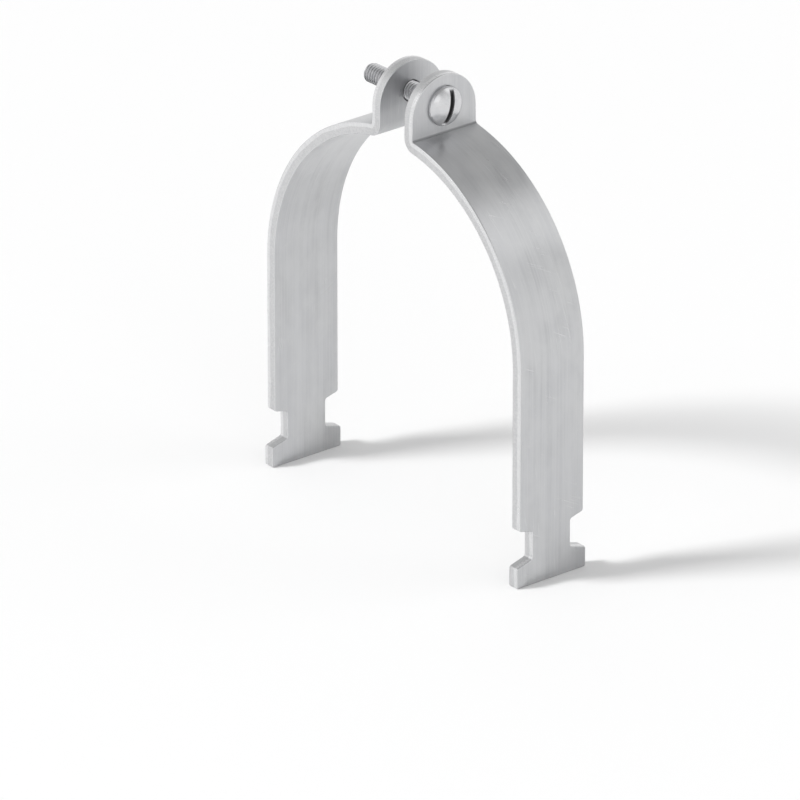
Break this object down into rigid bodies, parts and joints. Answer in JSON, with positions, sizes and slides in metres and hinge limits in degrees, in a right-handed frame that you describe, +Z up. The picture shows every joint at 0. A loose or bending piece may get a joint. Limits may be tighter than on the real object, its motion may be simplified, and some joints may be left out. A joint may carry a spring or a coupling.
{
  "type": "strut clamp",
  "caption": "Strut clamp: folded steel strap halves hook into a slotted channel, arch over a pipe and are drawn together at upright ears by a slotted screw and nut.",
  "frame": {"origin": "on the pipe's axis, in the middle of the strap width", "axes": "+X along the channel towards the half that carries the screw head, +Y along the pipe, +Z up from the channel"},
  "size_m": [0.1526, 0.0344, 0.1875],
  "materials": {
    "strap": "electro zinc plated, satin",
    "screw": "electro zinc plated, bright",
    "nut": "electro zinc plated, bright"
  },
  "bodies": {
    "left_half": {"left_strap": "strap"},
    "nut": {"nut": "nut"},
    "right_half": {"right_strap": "strap"},
    "screw": {"clamp_screw": "screw"}
  },
  "joints": [
    {"name": "halves_swing", "type": "hinge", "parent": "left_half", "child": "nut", "pos_m": [-0.01201, 0, 0.08641], "axis": [1, 0, 0], "continuous": true},
    {"name": "ears_close", "type": "slide", "parent": "nut", "child": "right_half", "axis": [-1, 0, 0], "range_m": [-0.0134, 0.01411]},
    {"name": "screw_turn", "type": "hinge", "parent": "right_half", "child": "screw", "pos_m": [0.01201, 0, 0.08641], "axis": [-1, 0, 0], "range_deg": [-3420, 3600]}
  ],
  "couplings": [
    {"joint": "screw_turn", "follows": "ears_close", "rad_per_m": 4452.7}
  ]
}
